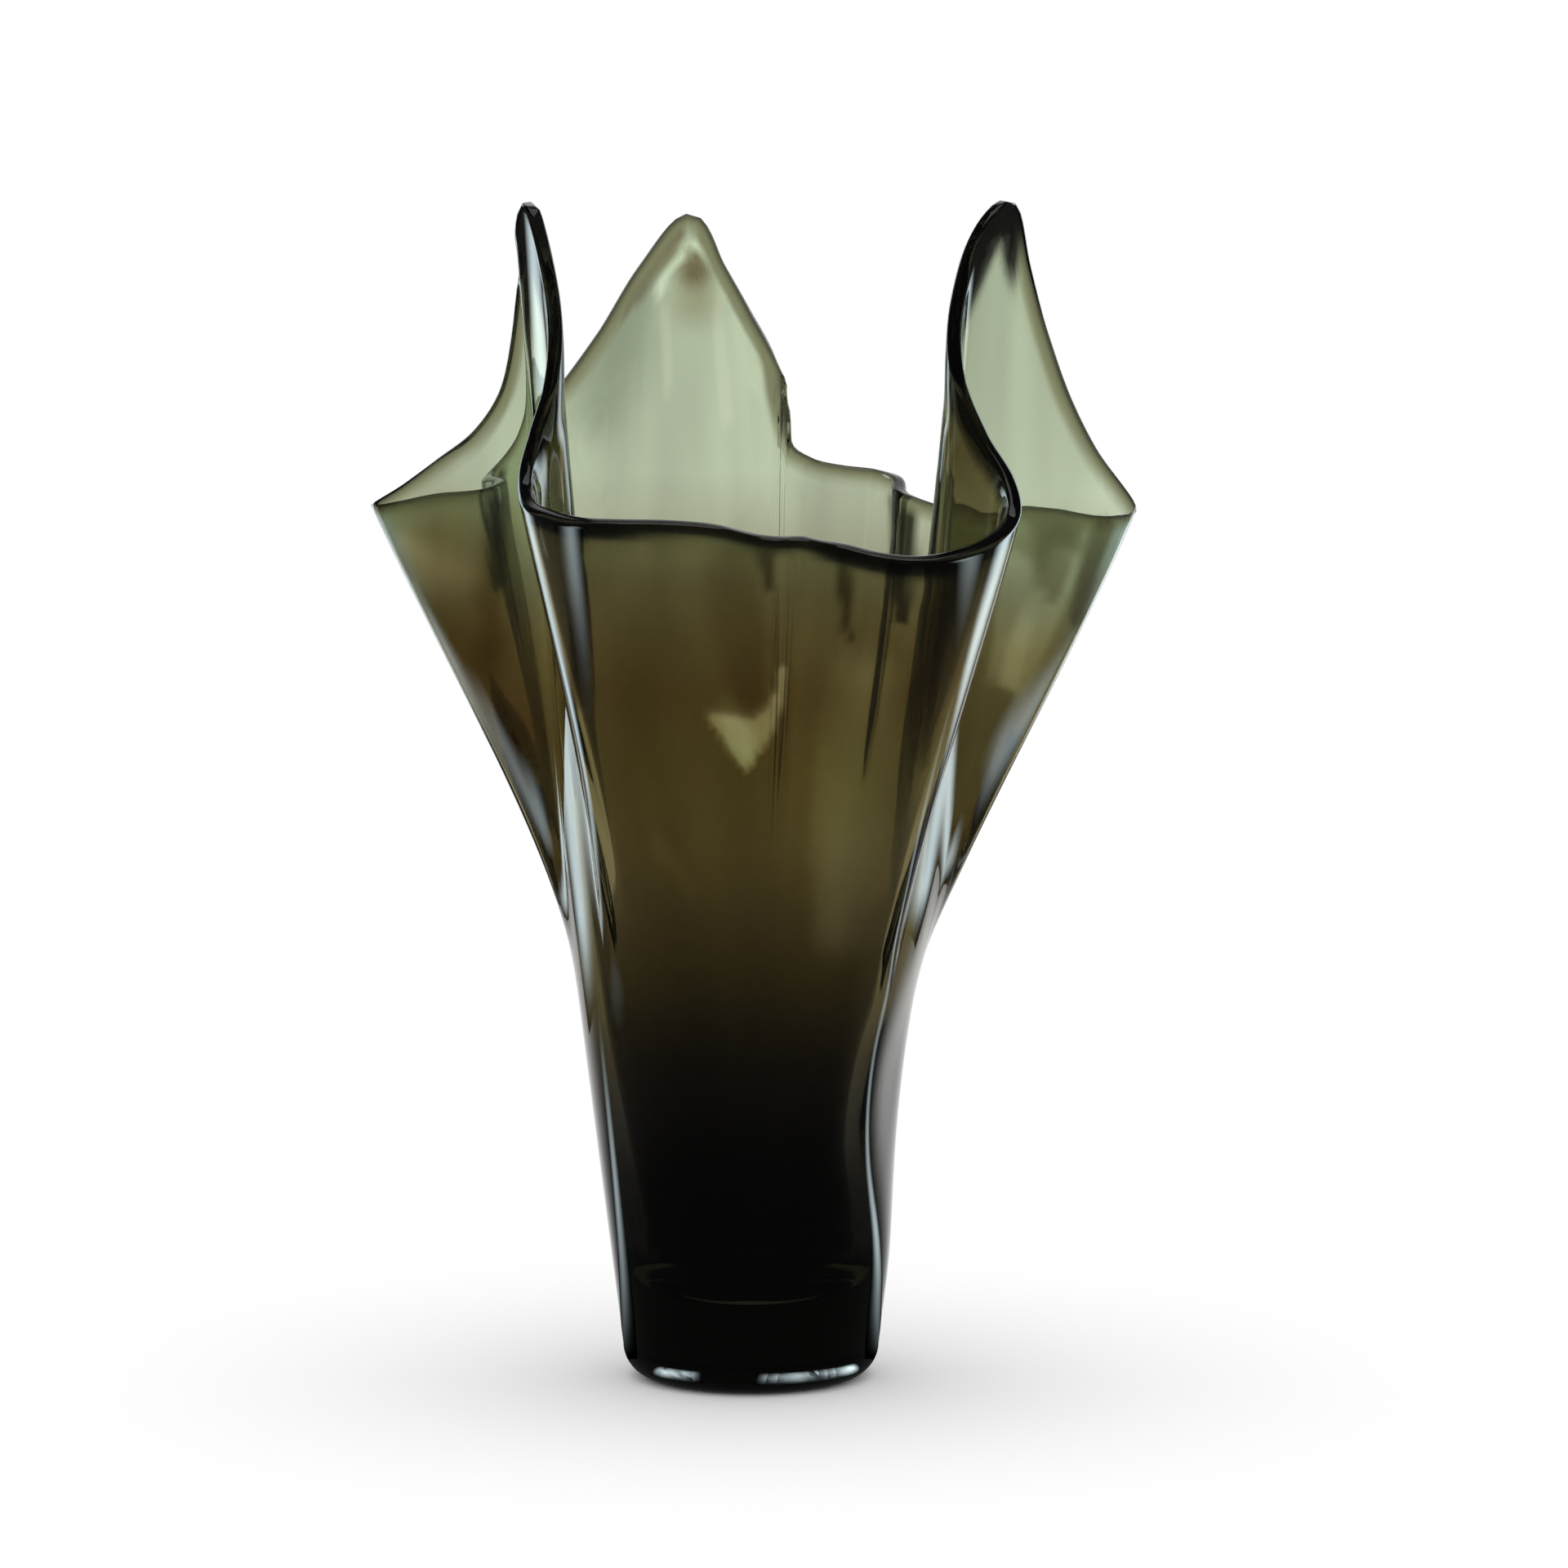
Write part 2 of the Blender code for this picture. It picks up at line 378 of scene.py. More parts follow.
@dataclass(frozen=True)
class Mark:
    """A soft run of painted shade, where darker, or painted light, where lighter, in the wall's tint, along
    a spine of X, Z and half width.
    """

    part: WallPart
    strength: Place
    spine: Spine
    reach: float = 1.25
    softness: float = 0.6

    def laid(self, turns: np.ndarray, skins: np.ndarray) -> np.ndarray:
        """Works out the mark at each point of the wall.

        Args:
            turns: the points' shares of the way round.
            skins: their places on the outer skin.

        Returns:
            What each point's tint is multiplied by.
        """
        flat = skins[:, [0, 2]]
        share = np.zeros(len(flat))
        for start, end in zip(self.spine, self.spine[1:]):
            first = np.array(start[:2])
            run = np.array(end[:2]) - first
            way = np.clip((flat - first) @ run / (run @ run), 0, 1)
            gap = np.linalg.norm(flat - first - way[:, None] * run, axis=1)
            half = start[2] + (end[2] - start[2]) * way
            share = np.maximum(share, np.clip((1 - gap / (half * self.reach)) / self.softness, 0, 1))
        share = np.where(self.part.holds(turns), share * share * (3 - 2 * share), 0)
        return 1 + share[:, None] * (np.array(self.strength) - 1)


# Where the wings fold back, as X, Z and half width
LEFT_FOLD: Spine = (
    (-0.0947, 0.2207, 0.003),
    (-0.0745, 0.1791, 0.003),
    (-0.0559, 0.1395, 0.003),
    (-0.044, 0.1, 0.002),
)
RIGHT_FOLD: Spine = (
    (0.0966, 0.219, 0.003),
    (0.0775, 0.178, 0.003),
    (0.0582, 0.139, 0.003),
    (0.0422, 0.0999, 0.002),
)


@dataclass(frozen=True)
class Marks:
    """Painted shade and painted highlights laid into the wall's tint: dark lines where the wall is seen
    edge-on, shaded patches, and pale patches and streaks of reflected light.
    """

    # Painted shade: dark lines where the shallow flutes of the front lip are seen edge-on
    flute: tuple[Mark, ...] = tuple(
        Mark(WallPart.FRONT_LIP, (0.3, 0.28, 0.25), spine)
        for spine in (
            ((0.0038, 0.2205, 0.0019), (0.004, 0.2147, 0.0016), (0.0044, 0.2095, 0.0008)),
            ((0.0227, 0.2182, 0.0019), (0.0231, 0.2064, 0.0016), (0.0238, 0.197, 0.0008)),
        )
    )
    # Painted shade: dark bands down the front's left and right sides, and a softer one in its middle
    front_side_shade: tuple[Mark, ...] = (
        Mark(
            WallPart.FRONT_LIP,
            (0.25, 0.23, 0.2),
            ((-0.043, 0.2234, 0.0017), (-0.0429, 0.2009, 0.0017), (-0.0435, 0.1768, 0.0012)),
        ),
        Mark(
            WallPart.FRONT_LIP,
            (0.4, 0.38, 0.35),
            (
                (0.0519, 0.2153, 0.0049),
                (0.048, 0.2019, 0.0037),
                (0.0465, 0.1935, 0.0029),
                (0.0446, 0.1784, 0.0019),
                (0.0433, 0.1628, 0.001),
            ),
        ),
        Mark(
            WallPart.FRONT_LIP,
            (0.78, 0.74, 0.7),
            ((-0.0045, 0.215, 0.007), (-0.0015, 0.195, 0.008), (-0.0005, 0.183, 0.005)),
        ),
    )
    # Painted highlight: a pale patch on the front wall and behind it on the back wall, a painted reflection
    # of the bright surroundings in a pleat
    front_painted_highlight: tuple[Mark, ...] = (
        Mark(
            WallPart.FRONT_LIP,
            (3.3, 4.0, 6.4),
            (
                (-0.0098, 0.1772, 0.001),
                (-0.0045, 0.1738, 0.0034),
                (-0.0009, 0.164, 0.0008),
                (0.003, 0.1728, 0.0024),
                (-0.002, 0.1722, 0.0036),
                (0.0028, 0.174, 0.003),
                (0.006, 0.1785, 0.0013),
                (0.0084, 0.1908, 0.0004),
            ),
            softness=0.35,
        ),
        Mark(
            WallPart.BACK,
            (1.4, 1.6, 2.0),
            ((-0.0067, 0.1625, 0.004), (-0.0036, 0.1542, 0.0055), (-0.0013, 0.149, 0.0025)),
            softness=0.8,
        ),
    )
    # Painted shade: near-black lines where the pleat walls of the back and the left back are seen edge-on
    pleat_shade: tuple[Mark, ...] = tuple(
        Mark(part, (0.06, 0.06, 0.05), spine)
        for part, spine in (
            (WallPart.BACK, ((0.0403, 0.2178, 0.0026), (0.0403, 0.203, 0.0027), (0.0403, 0.1885, 0.0016))),
            (
                WallPart.LEFT_BACK,
                ((-0.066, 0.224, 0.0024), (-0.0658, 0.2118, 0.0023), (-0.0648, 0.1992, 0.0014)),
            ),
        )
    )
    # Painted shade and painted highlights on the back flap: the dark window under its peak and the shade
    # beside it, with pale lines of refracted light along the window's outline
    back_flap_shade_and_highlights: tuple[Mark, ...] = (
        Mark(
            WallPart.BACK,
            (0.5, 0.41, 0.33),
            ((-0.0147, 0.2797, 0.0022), (-0.0147, 0.276, 0.0055)),
            softness=0.8,
        ),
        Mark(
            WallPart.BACK,
            (0.72, 0.66, 0.58),
            ((-0.0147, 0.275, 0.0066), (-0.0147, 0.268, 0.0088)),
            softness=1.0,
        ),
        Mark(
            WallPart.BACK,
            (0.7, 0.62, 0.54),
            ((-0.0125, 0.2855, 0.0016), (-0.008, 0.279, 0.002), (-0.004, 0.2715, 0.0018)),
        ),
        Mark(
            WallPart.BACK,
            (0.4, 0.32, 0.25),
            (
                (-0.0172, 0.287, 0.0016),
                (-0.022, 0.2814, 0.0033),
                (-0.0263, 0.2761, 0.0033),
                (-0.0305, 0.2694, 0.0027),
                (-0.0336, 0.2646, 0.0012),
            ),
        ),
        *(
            Mark(WallPart.BACK, (1.12, 1.1, 1.1), spine)
            for spine in (
                (
                    (-0.024, 0.2699, 0.0014),
                    (-0.022, 0.2641, 0.0014),
                    (-0.0216, 0.2533, 0.0014),
                    (-0.0216, 0.2449, 0.001),
                ),
                (
                    (-0.0076, 0.2699, 0.0019),
                    (-0.0088, 0.264, 0.0016),
                    (-0.0076, 0.2511, 0.0019),
                    (-0.0063, 0.238, 0.0019),
                ),
            )
        ),
        Mark(
            WallPart.BACK,
            (1.35, 1.4, 1.4),
            (
                (-0.024, 0.2699, 0.0012),
                (-0.022, 0.2741, 0.0012),
                (-0.0185, 0.2793, 0.0012),
                (-0.0147, 0.283, 0.001),
                (-0.0109, 0.2793, 0.0012),
                (-0.0076, 0.273, 0.0012),
                (-0.0059, 0.2699, 0.0012),
            ),
        ),
        Mark(
            WallPart.BACK,
            (0.76, 0.78, 0.75),
            (
                (-0.0273, 0.2678, 0.006),
                (-0.0326, 0.2594, 0.013),
                (-0.0368, 0.249, 0.013),
                (-0.0389, 0.2406, 0.010),
            ),
            softness=1.0,
        ),
    )
    # Painted highlight: a pale bluish line where the wings fold back and are seen edge-on
    folds: tuple[Mark, ...] = tuple(
        Mark(part, (1.0, 1.06, 1.3), spine, softness=0.7)
        for parts, spine in (
            ((WallPart.LEFT_BACK, WallPart.LEFT_WING), LEFT_FOLD),
            ((WallPart.RIGHT_WING, WallPart.RIGHT_BACK), RIGHT_FOLD),
        )
        for part in parts
    )
    # Painted shade: the left wing darker and browner, most of all low down, with one small painted highlight
    # near its tip
    left_wing: tuple[Mark, ...] = tuple(
        Mark(part, strength, spine, softness=1.0)
        for strength, spine in (
            ((0.8, 0.69, 0.58), ((-0.078, 0.214, 0.018), (-0.07, 0.19, 0.017), (-0.058, 0.165, 0.012))),
            ((1.2, 1.2, 1.26), ((-0.088, 0.213, 0.004), (-0.079, 0.207, 0.0065), (-0.072, 0.204, 0.006))),
            ((0.76, 0.74, 0.64), ((-0.083, 0.196, 0.005), (-0.078, 0.192, 0.007), (-0.07, 0.182, 0.009))),
            ((0.88, 0.82, 0.7), ((-0.0635, 0.215, 0.006), (-0.0655, 0.2, 0.006), (-0.064, 0.188, 0.006))),
        )
        for part in (WallPart.LEFT_WING, WallPart.LEFT_BACK)
    )
    # Painted shade and painted highlights on the right wing and right back: dark runs below its peak and
    # rim, a light line beside them and light patches where the right back catches the light
    right_wing: tuple[Mark, ...] = (
        Mark(
            WallPart.RIGHT_WING,
            (0.76, 0.7, 0.58),
            ((0.0705, 0.279, 0.003), (0.074, 0.2655, 0.003), (0.0785, 0.2515, 0.003), (0.084, 0.24, 0.002)),
            softness=0.8,
        ),
        Mark(
            WallPart.RIGHT_BACK,
            (0.6, 0.54, 0.46),
            (
                (0.0778, 0.2146, 0.0074),
                (0.077, 0.2064, 0.0058),
                (0.0755, 0.1993, 0.0033),
                (0.0745, 0.1952, 0.001),
            ),
        ),
        Mark(
            WallPart.RIGHT_WING,
            (0.5, 0.47, 0.42),
            ((0.0892, 0.2155, 0.0031), (0.0863, 0.2068, 0.0027), (0.0823, 0.1921, 0.0021)),
        ),
        Mark(
            WallPart.RIGHT_WING,
            (1.2, 1.22, 1.25),
            ((0.0842, 0.2143, 0.0014), (0.0822, 0.207, 0.0016), (0.0797, 0.1998, 0.001)),
        ),
        *(
            Mark(
                part,
                (0.92, 0.96, 1.0),
                ((0.083, 0.208, 0.010), (0.068, 0.18, 0.013), (0.058, 0.155, 0.013)),
                softness=1.0,
            )
            for part in (WallPart.RIGHT_WING, WallPart.RIGHT_BACK)
        ),
        Mark(
            WallPart.RIGHT_BACK,
            (1.75, 1.8, 2.1),
            (
                (0.079, 0.206, 0.0035),
                (0.0745, 0.194, 0.0042),
                (0.0685, 0.182, 0.0045),
                (0.0655, 0.174, 0.003),
            ),
        ),
        Mark(
            WallPart.RIGHT_BACK,
            (1.6, 1.65, 2.0),
            ((0.0667, 0.2017, 0.0054), (0.0654, 0.1875, 0.0045), (0.0635, 0.1753, 0.0029)),
        ),
    )
    # Painted light: a broad lighter patch right of the middle of the front and back walls, and two short
    # lighter streaks on the front
    body: tuple[Mark, ...] = (
        Mark(
            WallPart.FRONT_LIP,
            (1.5, 1.65, 2.0),
            ((0.030, 0.185, 0.010), (0.028, 0.165, 0.015), (0.027, 0.147, 0.015), (0.025, 0.120, 0.009)),
            softness=1.0,
        ),
        Mark(
            WallPart.BACK,
            (1.5, 1.65, 2.0),
            ((0.030, 0.170, 0.012), (0.028, 0.150, 0.016), (0.027, 0.133, 0.015), (0.025, 0.108, 0.009)),
            softness=1.0,
        ),
        *(
            Mark(WallPart.FRONT_LIP, (1.3, 1.3, 1.3), spine)
            for spine in (
                ((-0.0242, 0.1434, 0.0014), (-0.0199, 0.137, 0.0019), (-0.0145, 0.1304, 0.0012)),
                ((0.037, 0.1373, 0.0014), (0.0328, 0.1312, 0.0019), (0.0281, 0.1253, 0.0012)),
            )
        ),
    )

    def laid(self, turns: np.ndarray, skins: np.ndarray) -> np.ndarray:
        """Multiplies all the marks together at each point of the wall.

        Args:
            turns: the points' shares of the way round.
            skins: their places on the outer skin.

        Returns:
            What each point's tint is multiplied by.
        """
        groups = (
            self.flute,
            self.front_side_shade,
            self.front_painted_highlight,
            self.pleat_shade,
            self.back_flap_shade_and_highlights,
            self.folds,
            self.left_wing,
            self.right_wing,
            self.body,
        )
        total = np.ones((len(turns), 3))
        for mark in itertools.chain(*groups):
            total *= mark.laid(turns, skins)
        return total


class Easing(Enum):
    """How a value passes from one end of its range to the other."""

    EVEN = "LINEAR"
    SMOOTH = "SMOOTHSTEP"


class Laying(Enum):
    """How one colour goes over another."""

    COVER = "MIX"
    MULTIPLY = "MULTIPLY"


def feed(tree: Tree, entry: Socket, value: Socket | Colour | float) -> None:
    """Gives an input its value.

    Args:
        tree: the nodes that it belongs to.
        entry: the input.
        value: the socket that it is linked to, or its plain colour or number.
    """
    if isinstance(value, Socket):
        tree.links.new(value, entry)
    else:
        entry.default_value = value


def maths(
    tree: Tree, operation: str, first: Socket, second: Socket | float = 0.0, clamped: bool = False
) -> Socket:
    """Works out a number from one or two others.

    Args:
        tree: the nodes that it is added to.
        operation: what is done with them.
        first: the first number.
        second: the second number, where there is one.
        clamped: whether the result stays between 0 and 1.

    Returns:
        The socket that holds the result.
    """
    node = tree.nodes.new("ShaderNodeMath")
    node.operation = operation
    node.use_clamp = clamped
    feed(tree, node.inputs[0], first)
    feed(tree, node.inputs[1], second)
    return node.outputs["Value"]


def ranged(
    tree: Tree, value: Socket, ends: Pair, levels: Pair = (0.0, 1.0), easing: Easing = Easing.SMOOTH
) -> Socket:
    """Brings a number from one range to another, and holds it at the ends.

    Args:
        tree: the nodes that it is added to.
        value: the number.
        ends: where its range starts and ends.
        levels: what it becomes there.
        easing: how it passes between them.

    Returns:
        The socket that holds the result.
    """
    node = tree.nodes.new("ShaderNodeMapRange")
    node.interpolation_type = easing.value
    for name, number in zip(("From Min", "From Max", "To Min", "To Max"), (*ends, *levels)):
        node.inputs[name].default_value = number
    tree.links.new(value, node.inputs["Value"])
    return node.outputs["Result"]


def mix(
    tree: Tree, share: Socket | float, under: Socket, over: Socket | Colour, laying: Laying = Laying.COVER
) -> Socket:
    """Lays a colour over another.

    Args:
        tree: the nodes that it is added to.
        share: how much of it is laid, from 0 to 1.
        under: the colour below.
        over: the colour that is laid.
        laying: how it is laid.

    Returns:
        The socket that holds the colour.
    """
    node = tree.nodes.new("ShaderNodeMix")
    node.data_type = "RGBA"
    node.blend_type = laying.value
    feed(tree, node.inputs["Factor"], share)
    feed(tree, node.inputs["A"], under)
    feed(tree, node.inputs["B"], over)
    return node.outputs["Result"]


def either_shader(tree: Tree, share: Socket, first: Socket, second: Socket) -> Socket:
    """Passes from one shader to another.

    Args:
        tree: the nodes that it is added to.
        share: 0 for the first and 1 for the second.
        first: the first shader.
        second: the second shader.

    Returns:
        The socket that holds the shader.
    """
    node = tree.nodes.new("ShaderNodeMixShader")
    for entry, value in zip(node.inputs, (share, first, second)):
        tree.links.new(value, entry)
    return node.outputs["Shader"]


# The tints of the thick lower body, the same at the front and at the back
LOWER_TINTS: Tints = (
    (0.030, (0.004, 0.004, 0.004)),
    (0.052, (0.013, 0.012, 0.011)),
    (0.070, (0.045, 0.041, 0.034)),
    (0.085, (0.075, 0.062, 0.04)),
    (0.101, (0.149, 0.123, 0.063)),
    (0.121, (0.224, 0.184, 0.100)),
)


@dataclass(frozen=True)
class SmokedGlass:
    """Grey-brown glass, tinted in its mass, deeper and browner towards the foot, with painted shade that
    darkens its front and blackens its edge-on front rim.
    """

    slot: str = "smoked_glass"
    ior: float = 1.5
    roughness: float = 0.035
    absorption: Colour = (0.42, 0.44, 0.26, 1.0)
    density: float = 60.0
    top: float = 0.30
    back_tints: Tints = (
        *LOWER_TINTS,
        (0.142, (0.298, 0.251, 0.126)),
        (0.163, (0.302, 0.258, 0.135)),
        (0.184, (0.348, 0.313, 0.175)),
        (0.200, (0.378, 0.38, 0.261)),
        (0.225, (0.53, 0.603, 0.443)),
        (0.300, (0.475, 0.553, 0.397)),
    )
    # Darker than the back tints: painted shade on the front of the vase, darkest up the front creases
    front_shade_tints: Tints = (
        *LOWER_TINTS,
        (0.142, (0.288, 0.241, 0.119)),
        (0.163, (0.232, 0.191, 0.08)),
        (0.184, (0.223, 0.169, 0.075)),
        (0.200, (0.254, 0.216, 0.117)),
        (0.218, (0.282, 0.251, 0.145)),
        (0.240, (0.147, 0.109, 0.044)),
    )
    front_line: float = -0.038
    back_line: float = -0.018
    band_tint: Colour = (0.25, 0.255, 0.15, 1.0)
    # Near-black painted shade where the rim and the side peaks' tips are seen edge-on from the front
    edge_shade_tint: Colour = (0.008, 0.008, 0.007, 1.0)
    new_stop: float = 0.5
    streak_scale: float = 50.0
    streak_stretch: float = 0.12
    streak_detail: float = 2.0
    streak_range: Pair = (0.3, 0.7)
    streak_depth: float = 0.18
    ripple_depth: float = 0.00025
    ripple_scale: float = 22.0
    ripple_stretch: float = 0.3
    ripple_detail: float = 1.0

    def material(self) -> bpy.types.Material:
        """Builds the material: a tinted surface over an absorbing mass.

        Returns:
            The material.
        """
        material = bpy.data.materials.new(self.slot)
        material.use_nodes = True
        tree = material.node_tree
        shader = tree.nodes["Principled BSDF"]
        shader.inputs["Roughness"].default_value = self.roughness
        shader.inputs["IOR"].default_value = self.ior
        shader.inputs["Transmission Weight"].default_value = 1
        coordinates = tree.nodes.new("ShaderNodeTexCoord")
        tree.links.new(self.tint(tree, coordinates), shader.inputs["Base Color"])
        tree.links.new(self.ripple(tree, coordinates), shader.inputs["Normal"])
        mass = tree.nodes.new("ShaderNodeVolumeAbsorption")
        mass.inputs["Color"].default_value = self.absorption
        mass.inputs["Density"].default_value = self.density
        tree.links.new(mass.outputs["Volume"], tree.nodes["Material Output"].inputs["Volume"])
        return material

    def ramp(self, tree: Tree, level: Socket, tints: Tints) -> Socket:
        """Colours the glass by its height.

        Args:
            tree: the material's nodes.
            level: the height, as a share of the top.
            tints: heights and the colours that the glass has there.

        Returns:
            The socket that holds the colour.
        """
        ramp = tree.nodes.new("ShaderNodeValToRGB")
        tree.links.new(level, ramp.inputs["Fac"])
        stops = ramp.color_ramp.elements
        for _ in tints[2:]:
            stops.new(self.new_stop)
        for stop, (height, colour) in zip(stops, tints):
            stop.position = height / self.top
            stop.color = (*colour, 1.0)
        return ramp.outputs["Color"]

    def upright_noise(
        self, tree: Tree, coordinates: bpy.types.Node, scale: float, stretch: float, detail: float
    ) -> Socket:
        """Makes a noise that is drawn out along the height.

        Args:
            tree: the material's nodes.
            coordinates: its Texture Coordinate node.
            scale: how fine the noise is.
            stretch: its scale along the height, as a share of that across.
            detail: how much finer noise is laid over it.

        Returns:
            The socket that holds its level.
        """
        mapping = tree.nodes.new("ShaderNodeMapping")
        mapping.inputs["Scale"].default_value = (1, 1, stretch)
        tree.links.new(coordinates.outputs["Object"], mapping.inputs["Vector"])
        noise = tree.nodes.new("ShaderNodeTexNoise")
        noise.inputs["Scale"].default_value = scale
        noise.inputs["Detail"].default_value = detail
        tree.links.new(mapping.outputs["Vector"], noise.inputs["Vector"])
        return noise.outputs["Fac"]

    def streaks(self, tree: Tree, coordinates: bpy.types.Node) -> Socket:
        """Makes the faint upright streaks in the tint.

        Args:
            tree: the material's nodes.
            coordinates: its Texture Coordinate node.

        Returns:
            The socket that holds their level, which lies around 1.
        """
        noise = self.upright_noise(
            tree, coordinates, self.streak_scale, self.streak_stretch, self.streak_detail
        )
        levels = (1 - self.streak_depth, 1 + self.streak_depth)
        return ranged(tree, noise, self.streak_range, levels, Easing.EVEN)

    def tint(self, tree: Tree, coordinates: bpy.types.Node) -> Socket:
        """Tints the glass by its height, darker at the front as painted shade, with the marks' painted light
        and shade, its edge band and the painted black shade of its edge-on front rim.

        Args:
            tree: the material's nodes.
            coordinates: its Texture Coordinate node.

        Returns:
            The socket that holds the colour.
        """
        place = tree.nodes.new("ShaderNodeSeparateXYZ")
        tree.links.new(coordinates.outputs["Object"], place.inputs["Vector"])
        level = maths(tree, "DIVIDE", place.outputs["Z"], self.top)
        # Painted shade: the front of the vase takes the darker front tints
        front = ranged(tree, place.outputs["Y"], (self.back_line, self.front_line))
        at_back = self.ramp(tree, level, self.back_tints)
        at_front = self.ramp(tree, level, self.front_shade_tints)
        colour = mix(tree, front, at_back, at_front)
        # The marks' painted shade and painted highlights
        marks = tree.nodes.new("ShaderNodeAttribute")
        marks.attribute_name = "marks"
        for factor in (marks.outputs["Color"], self.streaks(tree, coordinates)):
            colour = mix(tree, 1.0, colour, factor, Laying.MULTIPLY)
        for attribute, over in (("rim_band", self.band_tint), ("rim_edge_shade", self.edge_shade_tint)):
            near = tree.nodes.new("ShaderNodeAttribute")
            near.attribute_name = attribute
            colour = mix(tree, near.outputs["Fac"], colour, over)
        return colour

    def ripple(self, tree: Tree, coordinates: bpy.types.Node) -> Socket:
        """Adds the faint upright ripples of hand-blown glass.

        Args:
            tree: the material's nodes.
            coordinates: its Texture Coordinate node.

        Returns:
            The socket that holds the bent normal.
        """
        noise = self.upright_noise(
            tree, coordinates, self.ripple_scale, self.ripple_stretch, self.ripple_detail
        )
        bump = tree.nodes.new("ShaderNodeBump")
        bump.inputs["Distance"].default_value = self.ripple_depth
        tree.links.new(noise, bump.inputs["Height"])
        return bump.outputs["Normal"]


@dataclass
class FoldedVase:
    """The whole vase: a turned blank, its hollow and its folds."""

    blank: Blank = field(default_factory=Blank)
    rim: RimLine = field(default_factory=RimLine)
    hollow: Hollow = field(default_factory=Hollow)
    marks: Marks = field(default_factory=Marks)
    glass: SmokedGlass = field(default_factory=SmokedGlass)
    spread_start: float = 0.1
    spread_bend: float = 0.07
    left_spread_at_start: float = 0.5
    right_spread_at_start: float = 0.85
    left_spread_at_rim: float = 1.0
    right_spread_at_rim: float = 0.85
    drape_start: float = 0.3
    drape_full: float = 0.7
    fold_turns: Pair = (0.2988, 0.6933)
    fold_spread: float = 0.032
    fold_thinning: float = 0.76
    columns: int = 400
    slope_step: float = 2e-4
    # Where and how far the painted black shade of the edge-on front rim and the side peaks' tips reaches
    right_peak_turn: float = 0.195
    left_peak_turn: float = 0.800
    peak_fade: float = 0.012
    tips: tuple[tuple[float, Pair], ...] = ((0.191, (0.004, 0.012)), (0.806, (0.012, 0.018)))
    lip_middle: float = 0.475
    lip_spread: float = 0.07
    lip_thinning: float = 0.0026
    flute_middle: float = 0.502
    flute_spread: float = 0.014
    flute_thinning: float = 0.0008
    peak_spread: float = 0.028
    peak_edge_shade: float = 0.0035
    front_edge_shade: float = 0.0046
    edge_core: float = 0.6
    band_inner: float = 0.001
    band_outer: float = 0.0024
    merge_distance: float = 1e-6

    def __post_init__(self) -> None:
        """Draws the rim's curve once."""
        self.curve = RimCurve(self.rim)

    def past_start(self, share: float) -> float:
        """How far a share of the height is past the start of the spread, bending softly away from 0."""
        past = share - self.spread_start
        return (past + math.hypot(past, self.spread_bend)) / 2

    def flare(self, direction: Vector, share: float) -> float:
        """Says how far a column has gone from the body's line to the rim line.

        Args:
            direction: the column's direction from the axis, of length 1.
            share: the share of its height.

        Returns:
            0 at the body, 1 at the rim, and what lies between.
        """
        rightness = (1 + direction.x) / 2
        start_gain = self.right_spread_at_start - self.left_spread_at_start
        rim_gain = self.right_spread_at_rim - self.left_spread_at_rim
        at_start = self.left_spread_at_start + start_gain * rightness
        at_rim = self.left_spread_at_rim + rim_gain * rightness
        way = (self.past_start(share) - self.past_start(0)) / (self.past_start(1) - self.past_start(0))
        return at_start * way * (1 - way) ** 2 + way**2 * (3 - 2 * way) - at_rim * way**2 * (1 - way)

    def skin(self, turn: float, height: float) -> Vector:
        """Gives a place on the outer skin.

        Args:
            turn: the share of the way round.
            height: the height in the blank.

        Returns:
            The place.
        """
        rim = self.curve.at_turn(turn)
        direction = Vector((rim.x, rim.y)).normalized()
        body_height = self.blank.body_height
        share = max((height - body_height) / (self.rim.low - body_height), 0)
        level = height + share * (rim.z - self.rim.low)
        spread = Vector((rim.x, rim.y)).length - self.blank.radius(rim.z)
        flared = self.blank.radius(level) + spread * self.flare(direction, share)
        radius = flared - self.hollow.at(direction, level)
        return Vector((*(direction * radius), level))

    def folded(self, place: Vector) -> Vector:
        """Gives where a point of the blank lies once the wall has fallen into its folds.

        Args:
            place: the point in the blank.

        Returns:
            Its place in the vase.
        """
        turn = (math.atan2(place.y, place.x) / math.tau) % 1.0
        radius = math.hypot(place.x, place.y)
        height = min(place.z, self.rim.low)
        skin = self.skin(turn, height)
        plain = skin * (radius / self.blank.radius(height))
        plain.z = place.z
        along = self.skin(turn + self.slope_step, height) - self.skin(turn - self.slope_step, height)
        up = skin - self.skin(turn, height - self.slope_step)
        inwards = up.cross(along).normalized()
        outwards = along.cross(inwards).normalized()
        # Thinned from inside in the tight wing folds, where the full wall crosses itself the most
        fold = max(swell(turn, middle, self.fold_spread) for middle in self.fold_turns)
        depth = (self.blank.radius(height) - radius) * (1 - self.fold_thinning * fold)
        draped = skin + inwards * depth + outwards * (place.z - height)
        start = self.blank.body_height * self.drape_start
        full = self.blank.body_height * self.drape_full
        return plain.lerp(draped, smooth_share(height, start, full))

    def front_share(self, turn: float) -> float:
        """Says how far a column belongs to the front lip and its creases.

        Args:
            turn: the share of the way round.

        Returns:
            1 on the lip and its creases, 0 behind the two peaks beside it.
        """
        right = 1 - smooth_share(turn, self.right_peak_turn, self.right_peak_turn + self.peak_fade)
        left = smooth_share(turn, self.left_peak_turn - self.peak_fade, self.left_peak_turn)
        return max(right, left)

